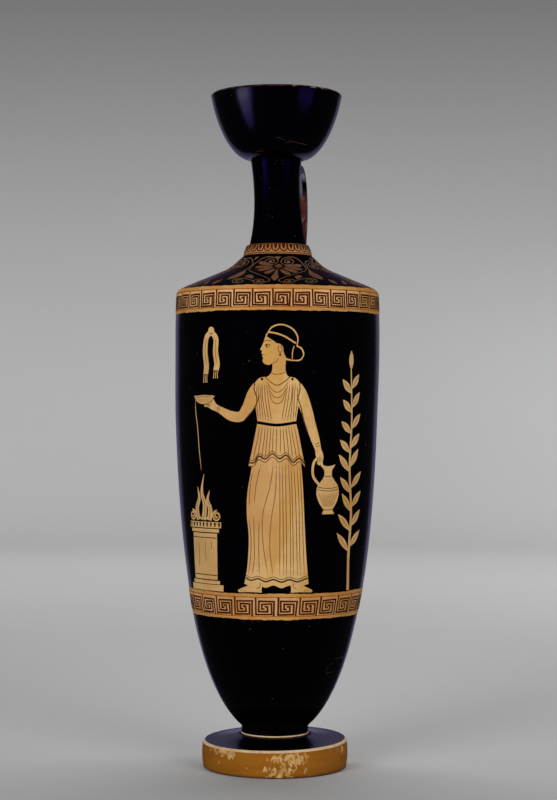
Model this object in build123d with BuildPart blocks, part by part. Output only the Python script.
from build123d import *
import os
from math import cos, radians, sin, tan

# Lekythos: a tall one-handled oil flask, thrown in sections on the wheel and luted together with slip.
# Millimetres, +Z up, origin at the centre of the resting plane, painted front towards -Y.

# Whole flask
vessel_height = 400.0     # resting plane to rim

# Clay and joints
wall = 4.6                # thrown wall of the body, shoulder and mouth
slip = 0.8                # layer of slip in every luted joint

# Foot
foot_radius = 43.2        # widest part of the side
foot_height = 16.9        # resting plane to the upper edge
foot_swell = 0.8          # how far the side draws in at its ends
foot_bevel = 1.3          # worn bevel of the upper edge
foot_base_round = 1.4     # rounding of the lower edge
foot_rise = 3.1           # climb of the top from its edge to the stem
rest_width = 10.0         # ring that stands on the table
recess_depth = 4.5        # hollow under the foot

# Body
stem_radius = 19.75
stem_height = 3.8
stem_ledge = 6.0          # ring round the spigot that sits on the foot
socket_depth = 4.0        # socket in the foot that takes the spigot
floor_thickness = 7.0     # clay above the stem's ledge
body_radius = 60.8        # widest part
flare_angle = 40.6        # slope in degrees where the body leaves the stem
flare_length = 39.1       # reach of that slope
flank_length = 121.0      # reach of the upright flank below the widest part
crown_height = 19.8       # widest part to the top of the body wall
crown_inset = 0.6         # how far the wall draws in at its top

# Shoulder
skirt_height = 5.2        # upright part of the shoulder's outer edge
edge_round = 4.5          # rounding of that edge
shoulder_slope = 22.8     # degrees below level
throat_slope = 52.0       # degrees below level, at the collar
throat_width = 11.5       # curved part between the collar and the straight slope
seat_ledge = 1.0          # seat that shows round the collar
lip_depth = 6.0           # locating lip inside the body wall
lip_wall = 3.4

# Neck and collar
bore_radius = 8.0
tenon_wall = 4.0          # clay round the bore in both tenons
neck_wall = 5.7           # clay round the bore at the waist
neck_base_ledge = 4.8
neck_top_ledge = 3.0
neck_length = 50.4        # collar to mouth
collar_height = 6.2
collar_base_width = 2.8
collar_top_width = 0.6
collar_bulge = 0.35

# Mouth
mouth_radius = 39.1
mouth_height = 39.0
mouth_sweep = 12.4        # level reach of the outline where it leaves the neck
mouth_rise = 17.0         # steep reach of the outline below the rim
mouth_lean = 9.2          # degrees that the rim leans out
lip_width = 3.3           # flat rim

# Handle
handle_turn = 17.0        # degrees from the back towards +X
handle_drop = 5.7         # mouth to the middle of the strap at the neck
handle_lift = 4.4         # climb of the strap before it bends down
handle_reach = 30.0       # from the axis to the middle of the strap at the upper bend
handle_bend = 13.0
handle_bow = 33.0         # the same where the strap bows out
handle_bow_drop = 27.0    # neck end of the strap to that bow
handle_bow_bend = 60.0
handle_root_radius = 31.0
strap_width = 18.0
strap_thickness = 6.4
strap_round = 2.8
pad_thickness = 1.6       # clay and slip between the strap and the wall
pad_margin = 2.0          # how far that clay spreads round the strap

# Radii that follow from the sizes above
rest_radius = foot_radius - rest_width
socket_radius = stem_radius - stem_ledge
spigot_radius = socket_radius - slip
edge_radius = body_radius - crown_inset
lip_seat_radius = edge_radius - wall
lip_radius = lip_seat_radius - slip
lip_inner_radius = lip_radius - lip_wall
tenon_radius = bore_radius + tenon_wall
tenon_hole_radius = tenon_radius + slip
neck_base_radius = tenon_radius + neck_base_ledge
neck_waist_radius = bore_radius + neck_wall
neck_top_radius = tenon_radius + neck_top_ledge
collar_inner_radius = neck_base_radius + slip
collar_base_radius = collar_inner_radius + collar_base_width
collar_top_radius = collar_inner_radius + collar_top_width
bend_radius = collar_base_radius + seat_ledge + throat_width

# Levels of the foot and stem, from the resting plane up
foot_top = foot_height + foot_rise
socket_floor = foot_top - socket_depth
body_base = foot_top + slip
spigot_base = socket_floor + slip
stem_top = body_base + stem_height
floor_level = body_base + floor_thickness

# Levels of the other pieces, from the rim down: the body takes up the height that is left
rim_level = vessel_height
mouth_base = rim_level - mouth_height
bowl_floor = mouth_base + wall
neck_top = mouth_base - slip
handle_level = neck_top - handle_drop
collar_top = neck_top - neck_length
neck_base = collar_top - collar_height
seat_level = neck_base - slip
tenon_base = seat_level - wall
bend_level = seat_level - throat_width * tan(radians((shoulder_slope + throat_slope) / 2))
edge_level = bend_level - (edge_radius - bend_radius) * tan(radians(shoulder_slope))
shoulder_base = edge_level - skirt_height
body_top = shoulder_base - slip
lip_base = body_top - lip_depth
widest_level = body_top - crown_height

# Plane of the handle: outward from the axis, and up
handle_out = Vector(sin(radians(handle_turn)), cos(radians(handle_turn)), 0)
handle_across = handle_out.cross(Vector(0, 0, 1))
handle_plane = Plane(origin=(0, 0, 0), x_dir=handle_out, z_dir=handle_across)


def clay_inset(outline, stops):
    """Points at the given stops of a rising outline, moved one wall into the clay."""
    moved = []
    for stop in stops:
        along = outline % stop
        moved.append(outline @ stop + Vector(-along.Y, along.X) * wall)
    return moved


def throat_points(growth):
    """Start, middle and end of the shoulder's curved throat, from the collar outwards."""
    slopes = [throat_slope, (throat_slope + shoulder_slope) / 2, shoulder_slope]
    spread = sin(radians(throat_slope)) - sin(radians(shoulder_slope))
    bend = throat_width / spread
    centre_radius = bend_radius + bend * sin(radians(shoulder_slope))
    centre_level = bend_level + bend * cos(radians(shoulder_slope))
    points = []
    reach = bend - growth
    for slope in slopes:
        turn = radians(slope)
        points.append((centre_radius - reach * sin(turn), centre_level - reach * cos(turn)))
    return points


def slope_point(radius, growth):
    """Point of the shoulder's straight slope at a radius."""
    rise = (edge_radius - radius) * tan(radians(shoulder_slope))
    return (radius, edge_level + rise + growth / cos(radians(shoulder_slope)))


def neck_core(growth):
    """The neck above its ledge, filled in and grown outwards."""
    with BuildPart() as core:
        with BuildSketch(Plane.XZ):
            with BuildLine():
                middle = (collar_top + neck_top) / 2
                waist = ThreePointArc(
                    (neck_base_radius + growth, collar_top),
                    (neck_waist_radius + growth, middle),
                    (neck_top_radius + growth, neck_top),
                )
                Polyline(
                    waist @ 1,
                    (0, neck_top),
                    (0, neck_base),
                    (neck_base_radius + growth, neck_base),
                    waist @ 0,
                )
            make_face()
        revolve(axis=Axis.Z)
    return core.part


def shoulder_core(growth):
    """The shoulder's slope, filled in and grown outwards."""
    with BuildPart() as core:
        with BuildSketch(Plane.XZ):
            with BuildLine():
                throat = ThreePointArc(*throat_points(growth))
                Polyline(
                    throat @ 1,
                    slope_point(edge_radius, growth),
                    (edge_radius, shoulder_base),
                    (0, shoulder_base),
                    (0, (throat @ 0).Y),
                    throat @ 0,
                )
            make_face()
        revolve(axis=Axis.Z)
    return core.part


def strap_blank(margin):
    """The strap from the axis of the neck to below the shoulder, grown by a margin."""
    with BuildPart() as blank:
        with BuildLine(handle_plane) as route:
            FilletPolyline(
                (0, handle_level),
                (handle_reach, handle_level + handle_lift),
                (handle_bow, handle_level - handle_bow_drop),
                (handle_root_radius, edge_level),
                radius=(handle_bend, handle_bow_bend),
            )
        start = Plane(origin=route.wire() @ 0, x_dir=handle_across, z_dir=route.wire() % 0)
        with BuildSketch(start):
            RectangleRounded(strap_width + 2 * margin, strap_thickness + 2 * margin, strap_round + margin)
        sweep()
    return blank.part


# Foot: a disc that is hollow underneath and has a socket for the body's spigot
with BuildPart() as foot:
    with BuildSketch(Plane.XZ) as foot_profile:
        with BuildLine():
            recess = TangentArc((0, recess_depth), (rest_radius, 0), tangent=(1, 0))
            side = ThreePointArc(
                (foot_radius - foot_swell, 0),
                (foot_radius, foot_height / 2),
                (foot_radius - foot_swell / 2, foot_height - foot_bevel),
            )
            Line(recess @ 1, side @ 0)
            Polyline(
                side @ 1,
                (foot_radius - foot_swell / 2 - foot_bevel, foot_height),
                (stem_radius, foot_top),
                (socket_radius, foot_top),
                (socket_radius, socket_floor),
                (0, socket_floor),
                recess @ 0,
            )
        make_face()
        lower_edge = foot_profile.vertices().sort_by_distance((foot_radius - foot_swell, 0))[0]
        fillet(lower_edge, foot_base_round)
    revolve(axis=Axis.Z)

# Slip between the foot and the stem, which shows as a pale line
with BuildPart() as foot_lute:
    with BuildSketch(Plane.XZ):
        with BuildLine():
            Polyline(
                (0, socket_floor),
                (socket_radius, socket_floor),
                (socket_radius, foot_top),
                (stem_radius, foot_top),
                (stem_radius, body_base),
                (spigot_radius, body_base),
                (spigot_radius, spigot_base),
                (0, spigot_base),
                close=True,
            )
        make_face()
    revolve(axis=Axis.Z)

# Body: a tapering hollow cylinder on a short stem, with a spigot below
with BuildPart() as body:
    with BuildSketch(Plane.XZ):
        with BuildLine():
            flare = (flare_length * cos(radians(flare_angle)), flare_length * sin(radians(flare_angle)))
            flank = Bezier(
                (stem_radius, stem_top),
                (stem_radius + flare[0], stem_top + flare[1]),
                (body_radius, widest_level - flank_length),
                (body_radius, widest_level),
            )
            crown = TangentArc(flank @ 1, (edge_radius, body_top), tangent=(0, 1))
            Polyline(crown @ 1, (lip_seat_radius, body_top), (lip_seat_radius, lip_base))
            inner = clay_inset(flank, (1.0, 0.85, 0.7, 0.55, 0.4, 0.25))
            Spline((lip_seat_radius, lip_base), *inner, (0, floor_level), tangents=((0, -1), (-1, 0)))
            Polyline(
                (0, floor_level),
                (0, spigot_base),
                (spigot_radius, spigot_base),
                (spigot_radius, body_base),
                (stem_radius, body_base),
                (stem_radius, stem_top),
            )
        make_face()
    revolve(axis=Axis.Z)

# Slip between the body wall and the shoulder's lip
with BuildPart() as shoulder_lute:
    with BuildSketch(Plane.XZ):
        with BuildLine():
            Polyline(
                (lip_radius, lip_base),
                (lip_seat_radius, lip_base),
                (lip_seat_radius, body_top),
                (edge_radius, body_top),
                (edge_radius, shoulder_base),
                (lip_radius, shoulder_base),
                close=True,
            )
        make_face()
    revolve(axis=Axis.Z)

# Shoulder: a sloping cover with a rounded edge, a locating lip and a seat for the neck
with BuildPart() as shoulder:
    with BuildSketch(Plane.XZ) as shoulder_profile:
        with BuildLine():
            throat = ThreePointArc(*throat_points(0))
            under = ThreePointArc(*throat_points(-wall))
            Polyline(
                throat @ 1,
                slope_point(edge_radius, 0),
                (edge_radius, shoulder_base),
                (lip_radius, shoulder_base),
                (lip_radius, lip_base),
                (lip_inner_radius, lip_base),
                slope_point(lip_inner_radius, -wall),
                under @ 1,
            )
            Polyline(
                under @ 0,
                (tenon_hole_radius, tenon_base),
                (tenon_hole_radius, seat_level),
                throat @ 0,
            )
        make_face()
        outer_edge = shoulder_profile.vertices().sort_by_distance(slope_point(edge_radius, 0))[0]
        fillet(outer_edge, edge_round)
    revolve(axis=Axis.Z)

# Slip on the shoulder's seat and round the neck's lower tenon
with BuildPart() as neck_lute:
    with BuildSketch(Plane.XZ):
        with BuildLine():
            Polyline(
                (tenon_radius, tenon_base),
                (tenon_hole_radius, tenon_base),
                (tenon_hole_radius, seat_level),
                (collar_base_radius, seat_level),
                (collar_base_radius, neck_base),
                (tenon_radius, neck_base),
                close=True,
            )
        make_face()
    revolve(axis=Axis.Z)

# Neck: a waisted tube with a tenon at each end
with BuildPart() as neck:
    with BuildSketch(Plane.XZ):
        with BuildLine():
            Polyline(
                (bore_radius, tenon_base),
                (tenon_radius, tenon_base),
                (tenon_radius, neck_base),
                (neck_base_radius, neck_base),
                (neck_base_radius, collar_top),
            )
            ThreePointArc(
                (neck_base_radius, collar_top),
                (neck_waist_radius, (collar_top + neck_top) / 2),
                (neck_top_radius, neck_top),
            )
            Polyline(
                (neck_top_radius, neck_top),
                (tenon_radius, neck_top),
                (tenon_radius, bowl_floor),
                (bore_radius, bowl_floor),
                (bore_radius, tenon_base),
            )
        make_face()
    revolve(axis=Axis.Z)

# Collar: the moulding round the root of the neck
with BuildPart() as neck_collar:
    with BuildSketch(Plane.XZ):
        with BuildLine():
            ThreePointArc(
                (collar_base_radius, neck_base),
                ((collar_base_radius + collar_top_radius) / 2 + collar_bulge, (neck_base + collar_top) / 2),
                (collar_top_radius, collar_top),
            )
            Polyline(
                (collar_top_radius, collar_top),
                (collar_inner_radius, collar_top),
                (collar_inner_radius, neck_base),
                (collar_base_radius, neck_base),
            )
        make_face()
    revolve(axis=Axis.Z)

# Slip between the collar and the neck
with BuildPart() as collar_lute:
    with BuildSketch(Plane.XZ):
        with BuildLine():
            Polyline(
                (neck_base_radius, neck_base),
                (collar_inner_radius, neck_base),
                (collar_inner_radius, collar_top),
                (neck_base_radius, collar_top),
                close=True,
            )
        make_face()
    revolve(axis=Axis.Z)

# Slip between the neck and the mouth
with BuildPart() as mouth_lute:
    with BuildSketch(Plane.XZ):
        with BuildLine():
            Polyline(
                (tenon_radius, neck_top),
                (neck_top_radius, neck_top),
                (neck_top_radius, mouth_base),
                (tenon_hole_radius, mouth_base),
                (tenon_hole_radius, bowl_floor),
                (tenon_radius, bowl_floor),
                close=True,
            )
        make_face()
    revolve(axis=Axis.Z)

# Mouth: a deep cup with a flat rim, open at the bottom for the neck's upper tenon
with BuildPart() as mouth:
    with BuildSketch(Plane.XZ):
        with BuildLine():
            lean = (mouth_rise * sin(radians(mouth_lean)), mouth_rise * cos(radians(mouth_lean)))
            calyx = Bezier(
                (neck_top_radius, mouth_base),
                (neck_top_radius + mouth_sweep, mouth_base),
                (mouth_radius - lean[0], rim_level - lean[1]),
                (mouth_radius, rim_level),
            )
            bowl = clay_inset(calyx, (0.8, 0.6, 0.4, 0.2, 0.0))
            Line(calyx @ 1, (mouth_radius - lip_width, rim_level))
            Spline((mouth_radius - lip_width, rim_level), *bowl)
            Polyline(
                bowl[-1],
                (tenon_hole_radius, bowl_floor),
                (tenon_hole_radius, mouth_base),
                calyx @ 0,
            )
        make_face()
    revolve(axis=Axis.Z)

# Handle: a strap from the neck to the shoulder, and the pads of clay that hold its ends
strap = strap_blank(0)
pad = strap_blank(pad_margin)
neck_solid = neck_core(0)
neck_padded = neck_core(pad_thickness)
shoulder_solid = shoulder_core(0)
shoulder_padded = shoulder_core(pad_thickness)

with BuildPart() as handle:
    add(strap)
    add(neck_padded, mode=Mode.SUBTRACT)
    add(shoulder_padded, mode=Mode.SUBTRACT)

with BuildPart() as handle_top_pad:
    add(pad)
    add(neck_padded, mode=Mode.INTERSECT)
    add(neck_solid, mode=Mode.SUBTRACT)

with BuildPart() as handle_root_pad:
    add(pad)
    add(shoulder_padded, mode=Mode.INTERSECT)
    add(shoulder_solid, mode=Mode.SUBTRACT)

pieces = {
    "foot": foot,
    "foot_lute": foot_lute,
    "body": body,
    "shoulder_lute": shoulder_lute,
    "shoulder": shoulder,
    "neck_lute": neck_lute,
    "neck": neck,
    "neck_collar": neck_collar,
    "collar_lute": collar_lute,
    "mouth_lute": mouth_lute,
    "mouth": mouth,
    "handle": handle,
    "handle_top_pad": handle_top_pad,
    "handle_root_pad": handle_root_pad,
}
os.makedirs("parts", exist_ok=True)
for name, piece in pieces.items():
    piece.part.label = name
    export_step(piece.part, f"parts/{name}.step")
print("height", round(mouth.part.bounding_box().max.Z, 3), "pieces", len(pieces))
